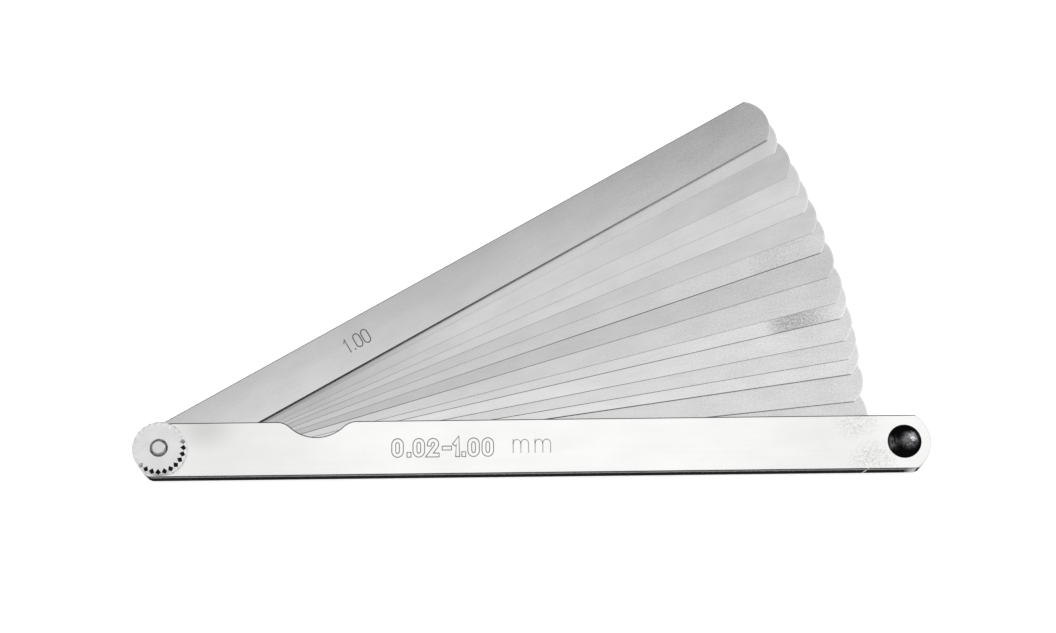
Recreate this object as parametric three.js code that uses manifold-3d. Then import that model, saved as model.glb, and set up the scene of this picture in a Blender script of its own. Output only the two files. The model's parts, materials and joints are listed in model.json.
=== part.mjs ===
// Feeler gauge: a fan of steel leaves on one pivot screw, folding into a channel-shaped case.
//
// Frame, in millimetres: the gauge lies flat. +X runs along the case from the pivot to the
// free end, +Y is the open side that the leaves swing out of, and +Z is the pivot axis, from
// the flat face of the screw's head (z = 0) up to the thumb nut. A leaf turned by a positive
// angle about +Z has swung out of the case.

import * as THREE from 'three';
import { mergeVertices } from 'three/addons/utils/BufferGeometryUtils.js';
import Module from 'manifold-3d';

const wasm = await Module();
wasm.setup();

// ---------------------------------------------------------------- driving dimensions

// Leaves from the rear of the stack to the front: thickness, and the angle each one rests at.
// The thickest leaf lies in front, where it guards the thin ones.
const LEAVES = [
  { thickness: 0.75, angle: 0 },
  { thickness: 0.50, angle: 0 },
  { thickness: 0.40, angle: 2.7 },
  { thickness: 0.30, angle: 5.6 },
  { thickness: 0.25, angle: 7.9 },
  { thickness: 0.20, angle: 9.2 },
  { thickness: 0.15, angle: 10.8 },
  { thickness: 0.10, angle: 12.7 },
  { thickness: 0.09, angle: 14.1 },
  { thickness: 0.08, angle: 16.4 },
  { thickness: 0.07, angle: 18.6 },
  { thickness: 0.06, angle: 20.5 },
  { thickness: 0.05, angle: 22.4 },
  { thickness: 0.04, angle: 24.0 },
  { thickness: 0.03, angle: 25.8 },
  { thickness: 0.02, angle: 28.2 },
  { thickness: 1.00, angle: 29.5 },
];
const LEAF_WIDTH = 13;
const LEAF_REACH = 193.5;
const LEAF_TIP_DROP = 3.3;
const LEAF_GAP = 0.02;

const SHEET = 0.8;
const CASE_HALF_WIDTH = 7.45;
const CASE_BEND_INSIDE = 0.15;
const CASE_BEND_OUTSIDE = 0.4;
const CASE_EDGE_BREAK = 0.3;
const CASE_END_RADIUS = 8.94;
const CASE_PIVOT_END_CENTRE = 2;
const CASE_FREE_END_CENTRE = 200.9;

const NOTCH_CENTRE = 42.5;
const NOTCH_RADIUS = 10.5;
const NOTCH_FLOOR = 3.1;
const NOTCH_FILLET = 5.5;

const SCREW_RADIUS = 2;
const SCREW_END_CHAMFER = 0.35;
const SCREW_PROUD = 3.2;
const NECK_SIDE = 4.6;
const HEAD_HEIGHT = 1.5;
const HEAD_RIM = 0.35;
const SCREW_HEAD_RADIUS = 5;
const SCREW_HEAD_FLAT = 3.4;

const NUT_RADIUS = 7.35;
const NUT_HEIGHT = 2.5;
const NUT_CHAMFER = 0.3;
const NUT_CONE_WIDTH = 0.52;
const NUT_CONE_HEIGHT = 0.75;
const NUT_BORE_MOUTH = 2.45;
const NUT_NOTCHES = 24;
const NUT_NOTCH_REACH = 1.56;
const NUT_NOTCH_WIDTH = 1.65;
const NUT_GAP = 0.02;

const RIVET_AT = 202.5;
const RIVET_RADIUS = 1.6;
const RIVET_HEAD_RADIUS = 4.6;
const RIVET_HEAD_FLAT = 2.6;
const RIVET_CROWN = 1.3;
const RIVET_CROWN_RIM = 0.3;
const SLEEVE_RADIUS = 3.2;

const FIXED_CLEARANCE = 0.05;
const TURNING_CLEARANCE = 0.08;

const ROUND_SIDES = 48;
const ARC_STEPS = 10;

// ------------------------------------------------------------------ heights up the stack

const stackOf = (leaves) => leaves.reduce((sum, leaf) => sum + leaf.thickness + LEAF_GAP, LEAF_GAP);

const REAR_PLATE_Z = HEAD_HEIGHT;
const CHANNEL_FLOOR_Z = REAR_PLATE_Z + SHEET;
const CHANNEL_ROOF_Z = CHANNEL_FLOOR_Z + stackOf(LEAVES);
const FRONT_FACE_Z = CHANNEL_ROOF_Z + SHEET;
const NUT_Z = FRONT_FACE_Z + NUT_GAP;
const SCREW_END_Z = FRONT_FACE_Z + SCREW_PROUD;

// -------------------------------------------------------------------- shapes and booleans

function circlePath(radius, x = 0, y = 0) {
  return new THREE.Path().absarc(x, y, radius, 0, 2 * Math.PI, true);
}

function extrudeUp(shape, bottom, top, curveSegments = ARC_STEPS) {
  const geometry = new THREE.ExtrudeGeometry(shape, {
    depth: top - bottom,
    bevelEnabled: false,
    curveSegments,
  });
  return geometry.translate(0, 0, bottom);
}

// Turns a closed profile of (radius, height) points about the vertical line at (x, 0).
function revolve(profile, x = 0) {
  const points = profile.map(([radius, height]) => new THREE.Vector2(radius, height));
  const geometry = new THREE.LatheGeometry(points, ROUND_SIDES);
  geometry.rotateX(Math.PI / 2);
  return geometry.translate(x, 0, 0);
}

function cylinder(radius, bottom, top, x = 0) {
  return revolve([[0, bottom], [radius, bottom], [radius, top], [0, top]], x);
}

function box(sizeX, sizeY, sizeZ, x, y, z) {
  return new THREE.BoxGeometry(sizeX, sizeY, sizeZ).translate(x, y, z);
}

function solid(geometry) {
  const bare = geometry.clone();
  bare.deleteAttribute('normal');
  bare.deleteAttribute('uv');
  const merged = mergeVertices(bare, 1e-4);
  return new wasm.Manifold(new wasm.Mesh({
    numProp: 3,
    vertProperties: new Float32Array(merged.attributes.position.array),
    triVerts: new Uint32Array(merged.index.array),
  }));
}

function geometryOf(body) {
  const { vertProperties, triVerts } = body.getMesh();
  const geometry = new THREE.BufferGeometry();
  geometry.setAttribute('position', new THREE.BufferAttribute(vertProperties, 3));
  geometry.setIndex(new THREE.BufferAttribute(triVerts, 1));
  geometry.computeVertexNormals();
  return geometry;
}

function cut(from, ...tools) {
  return tools.reduce((body, tool) => body.subtract(solid(tool)), from);
}

// ------------------------------------------------------------------------------- case

// One plate seen from the front: rounded ends, with a thumb notch in the open edge.
function plateOutline() {
  const endAngle = Math.asin(CASE_HALF_WIDTH / CASE_END_RADIUS);
  const cornerReach = CASE_END_RADIUS * Math.cos(endAngle);
  const notchY = NOTCH_FLOOR + NOTCH_RADIUS;
  const filletY = CASE_HALF_WIDTH - NOTCH_FILLET;
  const filletReach = Math.sqrt((NOTCH_RADIUS + NOTCH_FILLET) ** 2 - (notchY - filletY) ** 2);
  const meetAngle = Math.atan2(notchY - filletY, filletReach);

  const shape = new THREE.Shape();
  shape.moveTo(CASE_PIVOT_END_CENTRE - cornerReach, -CASE_HALF_WIDTH);
  shape.lineTo(CASE_FREE_END_CENTRE + cornerReach, -CASE_HALF_WIDTH);
  shape.absarc(CASE_FREE_END_CENTRE, 0, CASE_END_RADIUS, -endAngle, endAngle, false);
  shape.lineTo(NOTCH_CENTRE + filletReach, CASE_HALF_WIDTH);
  shape.absarc(NOTCH_CENTRE + filletReach, filletY, NOTCH_FILLET,
    Math.PI / 2, Math.PI - meetAngle, false);
  shape.absarc(NOTCH_CENTRE, notchY, NOTCH_RADIUS, -meetAngle, meetAngle - Math.PI, true);
  shape.absarc(NOTCH_CENTRE - filletReach, filletY, NOTCH_FILLET,
    meetAngle, Math.PI / 2, false);
  shape.lineTo(CASE_PIVOT_END_CENTRE - cornerReach, CASE_HALF_WIDTH);
  shape.absarc(CASE_PIVOT_END_CENTRE, 0, CASE_END_RADIUS,
    Math.PI - endAngle, Math.PI + endAngle, false);
  return shape;
}

// The folded sheet's section across the case, drawn in (y, z). Its folds are pressed sharp.
function channelSection() {
  const outer = -CASE_HALF_WIDTH;
  const inner = outer + SHEET;
  const open = CASE_HALF_WIDTH;
  const outerBend = CASE_BEND_OUTSIDE;
  const bendY = outer + outerBend;
  const lowBendZ = REAR_PLATE_Z + outerBend;
  const highBendZ = FRONT_FACE_Z - outerBend;

  const shape = new THREE.Shape();
  shape.moveTo(open - CASE_EDGE_BREAK, FRONT_FACE_Z);
  shape.absarc(bendY, highBendZ, outerBend, Math.PI / 2, Math.PI, false);
  shape.absarc(bendY, lowBendZ, outerBend, Math.PI, 1.5 * Math.PI, false);
  shape.lineTo(open - CASE_EDGE_BREAK, REAR_PLATE_Z);
  shape.lineTo(open, REAR_PLATE_Z + CASE_EDGE_BREAK);
  shape.lineTo(open, CHANNEL_FLOOR_Z);
  shape.lineTo(inner + CASE_BEND_INSIDE, CHANNEL_FLOOR_Z);
  shape.absarc(inner + CASE_BEND_INSIDE, CHANNEL_FLOOR_Z + CASE_BEND_INSIDE, CASE_BEND_INSIDE,
    1.5 * Math.PI, Math.PI, true);
  shape.absarc(inner + CASE_BEND_INSIDE, CHANNEL_ROOF_Z - CASE_BEND_INSIDE, CASE_BEND_INSIDE,
    Math.PI, Math.PI / 2, true);
  shape.lineTo(open, CHANNEL_ROOF_Z);
  shape.lineTo(open, FRONT_FACE_Z - CASE_EDGE_BREAK);
  return shape;
}

function caseGeometry() {
  const length = CASE_FREE_END_CENTRE - CASE_PIVOT_END_CENTRE + 2 * CASE_END_RADIUS + 2;
  const channel = new THREE.ExtrudeGeometry(channelSection(), {
    depth: length,
    bevelEnabled: false,
    curveSegments: 6,
  });
  const alongX = new THREE.Matrix4().makeBasis(
    new THREE.Vector3(0, 1, 0),
    new THREE.Vector3(0, 0, 1),
    new THREE.Vector3(1, 0, 0),
  );
  channel.applyMatrix4(alongX);
  channel.translate(CASE_PIVOT_END_CENTRE - CASE_END_RADIUS - 1, 0, 0);

  const trimmed = solid(channel).intersect(solid(extrudeUp(plateOutline(), 0, SCREW_END_Z)));

  // The spine ends square, inside the rounded ends of the plates.
  const cornerReach = Math.sqrt(CASE_END_RADIUS ** 2 - CASE_HALF_WIDTH ** 2);
  const trimX = 4;
  const trimY = 4;
  const spineHeight = CHANNEL_ROOF_Z - CHANNEL_FLOOR_Z;
  const spineMidZ = (CHANNEL_ROOF_Z + CHANNEL_FLOOR_Z) / 2;
  const spineEnds = [
    CASE_PIVOT_END_CENTRE - cornerReach - trimX / 2,
    CASE_FREE_END_CENTRE + cornerReach + trimX / 2,
  ].map((x) => box(trimX, trimY, spineHeight, x, -CASE_HALF_WIDTH, spineMidZ));

  const screwHole = cylinder(SCREW_RADIUS + FIXED_CLEARANCE, CHANNEL_ROOF_Z - 1, FRONT_FACE_Z + 1);
  const neckHoleSide = NECK_SIDE + 2 * FIXED_CLEARANCE;
  const neckHole = box(neckHoleSide, neckHoleSide, SHEET + 1, 0, 0, REAR_PLATE_Z + SHEET / 2);
  const rivetHoles = cylinder(RIVET_RADIUS + FIXED_CLEARANCE, 0, SCREW_END_Z, RIVET_AT);
  return geometryOf(cut(trimmed, ...spineEnds, screwHole, neckHole, rivetHoles));
}

// ------------------------------------------------------------------------------- leaves

function leafOutline() {
  const half = LEAF_WIDTH / 2;
  const tipRadius = (half ** 2 + LEAF_TIP_DROP ** 2) / (2 * LEAF_TIP_DROP);
  const tipAngle = Math.asin(half / tipRadius);
  const shape = new THREE.Shape();
  shape.absarc(0, 0, half, Math.PI / 2, 1.5 * Math.PI, false);
  shape.absarc(LEAF_REACH - tipRadius, 0, tipRadius, -tipAngle, tipAngle, false);
  shape.holes.push(circlePath(SCREW_RADIUS + TURNING_CLEARANCE));
  return shape;
}

function leafName(thickness) {
  return `blade_${thickness.toFixed(2).replace('.', '_')}mm`;
}

// ---------------------------------------------------------------- screw, nut, end rivet

// A shallow round head below z = HEAD_HEIGHT: flat face, curved shoulder, short straight rim.
function headProfile(radius, flat) {
  const steps = 6;
  const points = [[0, 0]];
  for (let i = 0; i <= steps; i += 1) {
    const angle = (i / steps) * (Math.PI / 2);
    const reach = flat + (radius - flat) * Math.sin(angle);
    const height = (HEAD_HEIGHT - HEAD_RIM) * (1 - Math.cos(angle));
    points.push([reach, height]);
  }
  points.push([radius, HEAD_HEIGHT]);
  return points;
}

function pivotScrewGeometry() {
  const turned = solid(revolve([
    ...headProfile(SCREW_HEAD_RADIUS, SCREW_HEAD_FLAT),
    [SCREW_RADIUS, HEAD_HEIGHT],
    [SCREW_RADIUS, SCREW_END_Z - SCREW_END_CHAMFER],
    [SCREW_RADIUS - SCREW_END_CHAMFER, SCREW_END_Z],
    [0, SCREW_END_Z],
  ]));
  const neckFoot = HEAD_HEIGHT / 2;
  const neckTop = CHANNEL_FLOOR_Z;
  const neck = box(NECK_SIDE, NECK_SIDE, neckTop - neckFoot, 0, 0, (neckTop + neckFoot) / 2);
  return geometryOf(turned.add(solid(neck)));
}

// A disc bored for the screw, with a broad chamfer round its top and V notches cut across it.
// A notch starts on the top face, runs outwards and down, and ends at the chamfer's foot.
function thumbNutGeometry() {
  const top = NUT_Z + NUT_HEIGHT;
  const boreRadius = SCREW_RADIUS + TURNING_CLEARANCE;
  const mouthDrop = NUT_BORE_MOUTH - boreRadius;
  const disc = solid(revolve([
    [boreRadius, NUT_Z],
    [NUT_RADIUS - NUT_CHAMFER, NUT_Z],
    [NUT_RADIUS, NUT_Z + NUT_CHAMFER],
    [NUT_RADIUS, top - NUT_CONE_HEIGHT],
    [NUT_RADIUS - NUT_CONE_WIDTH, top],
    [NUT_BORE_MOUTH, top],
    [boreRadius, top - mouthDrop],
    [boreRadius, NUT_Z],
  ]));

  // The cutter's keel passes through the notch's two tips, and its sides through the widest
  // points, on the top face's rim. All of it reaches a little past the metal.
  const cornerRadius = NUT_RADIUS - NUT_CONE_WIDTH;
  const slope = NUT_CONE_HEIGHT / NUT_NOTCH_REACH;
  const overshoot = 0.12;
  const innerX = NUT_RADIUS - NUT_NOTCH_REACH - overshoot;
  const outerX = NUT_RADIUS + overshoot;
  const keelX = NUT_RADIUS - NUT_NOTCH_REACH / 2;
  const keelZ = top - NUT_CONE_HEIGHT / 2;
  const sideX = 2 * cornerRadius - keelX;
  const sideZ = 2 * top - keelZ;
  const notch = wasm.Manifold.hull([
    [innerX, 0, top + overshoot * slope],
    [outerX, 0, top - NUT_CONE_HEIGHT - overshoot * slope],
    [sideX, NUT_NOTCH_WIDTH, sideZ],
    [sideX, -NUT_NOTCH_WIDTH, sideZ],
  ]);
  let nut = disc;
  for (let i = 0; i < NUT_NOTCHES; i += 1) {
    nut = nut.subtract(notch.rotate([0, 0, (360 / NUT_NOTCHES) * i]));
  }
  return geometryOf(nut);
}

// The front head is a shallow spherical dome on a low straight rim.
function endRivetGeometry() {
  const steps = 8;
  const domeHeight = RIVET_CROWN - RIVET_CROWN_RIM;
  const domeRadius = (RIVET_HEAD_RADIUS ** 2 + domeHeight ** 2) / (2 * domeHeight);
  const domeCentreZ = FRONT_FACE_Z + RIVET_CROWN - domeRadius;
  const crown = [];
  for (let i = 0; i <= steps; i += 1) {
    const radius = RIVET_HEAD_RADIUS * (1 - i / steps);
    crown.push([radius, domeCentreZ + Math.sqrt(domeRadius ** 2 - radius ** 2)]);
  }
  return revolve([
    ...headProfile(RIVET_HEAD_RADIUS, RIVET_HEAD_FLAT),
    [RIVET_RADIUS, HEAD_HEIGHT],
    [RIVET_RADIUS, FRONT_FACE_Z],
    [RIVET_HEAD_RADIUS, FRONT_FACE_Z],
    ...crown,
  ], RIVET_AT);
}

function spacerSleeveGeometry() {
  const bore = RIVET_RADIUS + FIXED_CLEARANCE;
  return revolve([
    [bore, CHANNEL_FLOOR_Z],
    [SLEEVE_RADIUS, CHANNEL_FLOOR_Z],
    [SLEEVE_RADIUS, CHANNEL_ROOF_Z],
    [bore, CHANNEL_ROOF_Z],
    [bore, CHANNEL_FLOOR_Z],
  ], RIVET_AT);
}

// --------------------------------------------------------------------------- assembly

const gauge = new THREE.Group();

function add(name, geometry, material) {
  const mesh = new THREE.Mesh(geometry, new THREE.MeshStandardMaterial(material));
  mesh.name = name;
  gauge.add(mesh);
  return mesh;
}

const NICKEL = { color: 0xd9dadb, metalness: 1, roughness: 0.18 };
const SPRING_STEEL = { color: 0xbfc1c3, metalness: 1, roughness: 0.35 };
const BRIGHT_STEEL = { color: 0xc9cacb, metalness: 1, roughness: 0.3 };
const BLACK_OXIDE = { color: 0x101113, metalness: 0.6, roughness: 0.3 };

add('case', caseGeometry(), NICKEL);

let leafZ = CHANNEL_FLOOR_Z + LEAF_GAP;
for (const { thickness, angle } of LEAVES) {
  const blade = add(leafName(thickness), extrudeUp(leafOutline(), 0, thickness), SPRING_STEEL);
  blade.position.z = leafZ;
  blade.rotation.z = THREE.MathUtils.degToRad(angle);
  leafZ += thickness + LEAF_GAP;
}

add('pivot_screw', pivotScrewGeometry(), BRIGHT_STEEL);
add('thumb_nut', thumbNutGeometry(), BRIGHT_STEEL);
add('end_rivet', endRivetGeometry(), BLACK_OXIDE);
add('spacer_sleeve', spacerSleeveGeometry(), BRIGHT_STEEL);

export default gauge;
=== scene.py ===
"""The looks of a feeler gauge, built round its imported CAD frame.

The gauge lies flat: +X runs along the case from the pivot, +Y is the open side that the leaves
swing out of, and +Z is the pivot axis. Lengths are in metres, with MM to write millimetres.
"""

import json
import math

import bmesh
import bpy
from mathutils import Matrix, Vector


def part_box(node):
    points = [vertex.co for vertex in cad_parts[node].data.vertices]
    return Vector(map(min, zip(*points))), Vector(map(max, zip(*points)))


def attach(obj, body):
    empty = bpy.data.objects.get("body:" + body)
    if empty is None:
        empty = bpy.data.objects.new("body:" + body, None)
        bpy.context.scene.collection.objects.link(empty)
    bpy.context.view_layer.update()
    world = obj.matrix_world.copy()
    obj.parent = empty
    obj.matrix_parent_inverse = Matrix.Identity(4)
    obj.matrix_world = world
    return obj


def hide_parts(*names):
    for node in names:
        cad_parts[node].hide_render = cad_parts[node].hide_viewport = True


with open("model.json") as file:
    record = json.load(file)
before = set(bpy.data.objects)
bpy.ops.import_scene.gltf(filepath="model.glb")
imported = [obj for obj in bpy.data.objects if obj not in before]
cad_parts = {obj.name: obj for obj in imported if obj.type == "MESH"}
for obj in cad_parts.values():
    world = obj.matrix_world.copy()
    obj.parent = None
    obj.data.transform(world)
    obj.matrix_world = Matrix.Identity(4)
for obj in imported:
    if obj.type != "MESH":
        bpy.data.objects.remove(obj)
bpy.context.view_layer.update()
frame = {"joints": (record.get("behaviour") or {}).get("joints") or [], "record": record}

MM = 0.001
TAU = 2 * math.pi
HALF_TURN = TAU / 2
QUARTER_TURN = TAU / 4

# ---------------------------------------------------------------- sizes from the frame

case_low, case_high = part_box("case")
nut_low, nut_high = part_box("thumb_nut")
screw_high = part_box("pivot_screw")[1]
rivet_low, rivet_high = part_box("end_rivet")
sleeve_low, sleeve_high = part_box("spacer_sleeve")

REAR_Z = case_low.z
FLOOR_Z = sleeve_low.z
ROOF_Z = sleeve_high.z
FRONT_Z = case_high.z
SHEET = FRONT_Z - ROOF_Z
HALF_WIDTH = case_high.y
RIVET_X = (rivet_low.x + rivet_high.x) / 2
NUT_RADIUS = nut_high.y
SCREW_HEAD_RADIUS = screw_high.y
RIVET_HEAD_RADIUS = rivet_high.y

# Sizes that the boxes don't show.
END_RADIUS = 8.94 * MM
BEND_INSIDE = 0.15 * MM
BEND_OUTSIDE = 0.4 * MM
NOTCH_X = 42.5 * MM
NOTCH_RADIUS = 10.5 * MM
NOTCH_FLOOR = 3.1 * MM
NOTCH_FILLET = 5.5 * MM
LEAF_HALF_WIDTH = 6.5 * MM
LEAF_REACH = 193.5 * MM
LEAF_TIP_DROP = 3.3 * MM
LEAF_TIP_RADIUS = (LEAF_HALF_WIDTH ** 2 + LEAF_TIP_DROP ** 2) / (2 * LEAF_TIP_DROP)
LEAF_TIP_X = LEAF_REACH - LEAF_TIP_RADIUS
LEAF_CORNER = 0.35 * MM
SCREW_RADIUS = 2.0 * MM
BORE_RADIUS = 2.08 * MM
RIVET_RADIUS = 1.6 * MM
HOLE_CLEARANCE = 0.05 * MM
NECK_SIDE = 4.6 * MM

# Where the case's rounded ends are centred, and how far past a centre a long edge goes on.
PIVOT_END_X = case_low.x + END_RADIUS
FREE_END_X = case_high.x - END_RADIUS
CORNER_REACH = math.sqrt(END_RADIUS ** 2 - HALF_WIDTH ** 2)


# ---------------------------------------------------------------------- mesh helpers

def finish_piece(name, bm, body, materials, replaces=(), smooth=30):
    """Turns a bmesh into a piece that rides a body and wears its materials."""
    bmesh.ops.recalc_face_normals(bm, faces=bm.faces)
    mesh = bpy.data.meshes.new(name)
    bm.to_mesh(mesh)
    bm.free()
    for face in mesh.polygons:
        face.use_smooth = True
    mesh.set_sharp_from_angle(angle=math.radians(smooth))
    for material in materials:
        mesh.materials.append(material)
    piece = bpy.data.objects.new(name, mesh)
    bpy.context.scene.collection.objects.link(piece)
    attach(piece, body)
    for node in replaces:
        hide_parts(node)


def add_ring(bm, points):
    return [bm.verts.new(point) for point in points]


def add_cone(bm, tip, ring):
    """Triangles from one vertex to a closed row of them."""
    for a, b in zip(ring, ring[1:] + ring[:1]):
        bm.faces.new((tip, a, b))


def bridge(bm, first, second, closed=True):
    """Quads between two rows of vertices, one for one."""
    count = len(first)
    faces = []
    for i in range(count if closed else count - 1):
        j = (i + 1) % count
        faces.append(bm.faces.new((first[i], first[j], second[j], second[i])))
    return faces


def fill(bm, *rings):
    """A flat face with holes: the first ring is its outline."""
    edges = []
    for ring in rings:
        for a, b in zip(ring, ring[1:] + ring[:1]):
            edges.append(bm.edges.get((a, b)) or bm.edges.new((a, b)))
    bmesh.ops.triangle_fill(bm, use_beauty=True, edges=edges)


def circle(radius, z=0.0, sides=64, x=0.0):
    return [(x + radius * math.cos(TAU * i / sides), radius * math.sin(TAU * i / sides), z)
            for i in range(sides)]


def arc(x, y, radius, start, end, steps):
    """Points along a circle, from one angle to another, both ends included."""
    points = []
    for i in range(steps + 1):
        angle = start + (end - start) * i / steps
        points.append((x + radius * math.cos(angle), y + radius * math.sin(angle)))
    return points


def lathe(bm, profile, x=0.0, sides=96):
    """Turns a profile of (radius, height) about the vertical line at (x, 0)."""
    rings = []
    for radius, z in profile:
        if radius == 0:
            rings.append([bm.verts.new((x, 0, z))])
        else:
            rings.append(add_ring(bm, circle(radius, z, sides, x)))
    for low, high in zip(rings, rings[1:]):
        if len(low) == len(high):
            bridge(bm, low, high)
            continue
        tip, ring = (low[0], high) if len(low) == 1 else (high[0], low)
        add_cone(bm, tip, ring)


# ------------------------------------------------------------------ material helpers

class Look:
    """A material under construction: a Principled shader and the nodes that feed it.

    Its patterns lie along the object's own axes, or along axes turned about Z.
    """

    def __init__(self, name, metallic=1.0, specular=0.5, turn=0.0):
        self.material = bpy.data.materials.new(name)
        self.material.use_nodes = True
        self.tree = self.material.node_tree
        self.shader = self.tree.nodes["Principled BSDF"]
        self.shader.inputs["Metallic"].default_value = metallic
        self.shader.inputs["Specular IOR Level"].default_value = specular
        self.coordinates = self.tree.nodes.new("ShaderNodeTexCoord").outputs["Object"]
        if turn:
            mapping = self.node("ShaderNodeMapping", Vector=self.coordinates, Rotation=(0, 0, -turn))
            self.coordinates = mapping.outputs[0]

    def node(self, kind, **inputs):
        node = self.tree.nodes.new(kind)
        for key, value in inputs.items():
            self.feed(node.inputs[key.replace("_", " ")], value)
        return node

    def feed(self, socket, value):
        if isinstance(value, bpy.types.NodeSocket):
            self.tree.links.new(value, socket)
        else:
            socket.default_value = value

    def noise(self, scale, detail=3.0, offset=(0, 0, 0), roughness=0.5):
        """Noise over the object's own place; scale is in features per metre on each axis."""
        mapping = self.node("ShaderNodeMapping", Vector=self.coordinates, Scale=scale, Location=offset)
        node = self.node("ShaderNodeTexNoise", Vector=mapping.outputs[0], Scale=1.0,
                         Detail=detail, Roughness=roughness)
        return node.outputs["Fac"]

    def remap(self, value, low, high, to_low, to_high, smooth=False):
        node = self.node("ShaderNodeMapRange")
        if smooth:
            node.interpolation_type = "SMOOTHSTEP"
        for socket, number in zip(node.inputs, (value, low, high, to_low, to_high)):
            self.feed(socket, number)
        return node.outputs["Result"]

    def vary(self, noise, low, high):
        """Spreads the usual range of a noise between two values."""
        return self.remap(noise, 0.3, 0.7, low, high)

    def fade(self, value, none, full, smooth=False):
        """A share that grows from nothing at one value to one at another, above it or below it."""
        return self.remap(value, none, full, 0.0, 1.0, smooth)

    def scale_by(self, share, factor):
        """One where the share is nothing, and the factor where the share is one."""
        return self.remap(share, 0.0, 1.0, 1.0, factor)

    def math(self, operation, a, b=0.0):
        node = self.node("ShaderNodeMath")
        node.operation = operation
        self.feed(node.inputs[0], a)
        self.feed(node.inputs[1], b)
        return node.outputs[0]

    def total(self, *values):
        result = values[0]
        for value in values[1:]:
            result = self.math("ADD", result, value)
        return result

    def product(self, *values):
        result = values[0]
        for value in values[1:]:
            result = self.math("MULTIPLY", result, value)
        return result

    def less(self, a, b):
        return self.math("SUBTRACT", a, b)

    def axis(self, letter):
        separate = self.node("ShaderNodeSeparateXYZ", Vector=self.coordinates)
        return separate.outputs[letter]

    def radius_from(self, x=0.0, y=0.0):
        """Distance from the vertical line at (x, y)."""
        across = self.less(self.axis("X"), x)
        up = self.less(self.axis("Y"), y)
        return self.math("SQRT", self.total(self.product(across, across), self.product(up, up)))

    def spot(self, x, y, inner, outer):
        """One inside a round spot, and falling to nothing at its outer radius."""
        return self.fade(self.radius_from(x, y), outer, inner, smooth=True)

    def grey(self, value, tint=(1.0, 1.0, 1.0)):
        """Colours the surface with a grey value, slightly tinted."""
        scale = self.node("ShaderNodeVectorMath")
        scale.operation = "SCALE"
        scale.inputs[0].default_value = tint
        self.feed(scale.inputs["Scale"], value)
        self.feed(self.shader.inputs["Base Color"], scale.outputs[0])

    def roughen(self, value):
        self.feed(self.shader.inputs["Roughness"], value)

    def make_matt(self, share):
        """Lets a share of the surface scatter light, and leaves the rest metallic."""
        self.feed(self.shader.inputs["Metallic"], self.less(1.0, share))

    def bump(self, height, distance, strength=1.0):
        node = self.node("ShaderNodeBump", Height=height, Distance=distance, Strength=strength)
        self.feed(self.shader.inputs["Normal"], node.outputs["Normal"])


# ----------------------------------------------------------------------- materials

def nickel(name):
    """Bright nickel plate on rolled sheet: near white and faintly clouded, worn and stained in places, in
    painted shade towards the pivot, the rivet and the corner by the nut.
    """
    look = Look(name)
    clouds = look.noise((70, 160, 160), detail=4)
    rolling = look.noise((14, 2600, 2600), detail=2)
    pits = look.noise((2300, 2300, 2300), detail=2, roughness=0.7)
    specks = look.noise((1900, 1900, 1900), detail=3, roughness=0.75)
    x = look.axis("X")
    y = look.axis("Y")
    z = look.axis("Z")

    # Specks gathered in two patches beside the rivet, on the plates but not on the spine.
    patches = look.math(
        "MAXIMUM",
        look.spot(RIVET_X - 13.0 * MM, 6.5 * MM, 2.0 * MM, 7.5 * MM),
        look.spot(RIVET_X - 8.5 * MM, -5.5 * MM, 3.0 * MM, 8.0 * MM),
    )
    on_plates = look.fade(y, -HALF_WIDTH + 0.1 * MM, -HALF_WIDTH + 0.5 * MM)
    stains = look.product(look.fade(specks, 0.47, 0.62), patches, on_plates)

    # A dull band along the spine, just behind the front face.
    worn_fold = look.product(
        look.fade(y, -HALF_WIDTH + 0.12 * MM, -HALF_WIDTH + 0.02 * MM),
        look.fade(z, FRONT_Z - 2.0 * MM, FRONT_Z - 1.7 * MM),
        look.fade(z, FRONT_Z - 0.4 * MM, FRONT_Z - 0.6 * MM),
        look.remap(look.noise((30, 30, 900), detail=4), 0.3, 0.6, 0.6, 1.0),
    )

    # The spine worn bare at its free end, and a bare nick leaning across it beside the rivet.
    on_spine = look.fade(y, -HALF_WIDTH + 0.1 * MM, -HALF_WIDTH + 0.05 * MM)
    spine_end = FREE_END_X + CORNER_REACH
    worn_end = look.remap(x, spine_end - 3.4 * MM, spine_end - 1.2 * MM, 0.0, 0.8)
    nick_lean = 0.2
    from_nick = look.less(look.less(x, RIVET_X - 11.6 * MM), look.product(z, nick_lean))
    nick = look.fade(look.math("ABSOLUTE", from_nick), 0.24 * MM, 0.12 * MM)
    bare = look.product(on_spine, look.math("MAXIMUM", worn_end, nick))

    # Painted shade towards the pivot and the rivet, lighter towards the free end, and a spot of painted
    # shade in the corner by the nut on the open side.
    pivot_shade = look.remap(x, 18 * MM, 65 * MM, 0.88, 1.0, smooth=True)
    rivet_shade = look.remap(x, 140 * MM, 185 * MM, 1.0, 0.93, smooth=True)
    bright_end = look.remap(x, 193 * MM, 200 * MM, 1.0, 1.06, smooth=True)
    painted_shade_corner = look.spot(12 * MM, HALF_WIDTH, 1 * MM, 11 * MM)
    tone = look.product(
        look.vary(clouds, 0.93, 0.975),
        pivot_shade,
        rivet_shade,
        bright_end,
        look.vary(rolling, 0.985, 1.0),
        look.remap(pits, 0.66, 0.78, 1.0, 0.86),
        look.scale_by(stains, 0.68),
        look.scale_by(worn_fold, 0.5),
        look.scale_by(painted_shade_corner, 0.8),
    )
    look.grey(tone, (1.0, 0.998, 0.992))
    look.make_matt(look.math("MAXIMUM", look.product(worn_fold, 0.65), bare))
    look.roughen(look.total(look.vary(clouds, 0.12, 0.2), look.remap(stains, 0.0, 1.0, 0.0, 0.25)))
    look.bump(look.total(look.product(clouds, 6.0), rolling), 0.0016 * MM, 0.6)
    return look.material


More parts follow.
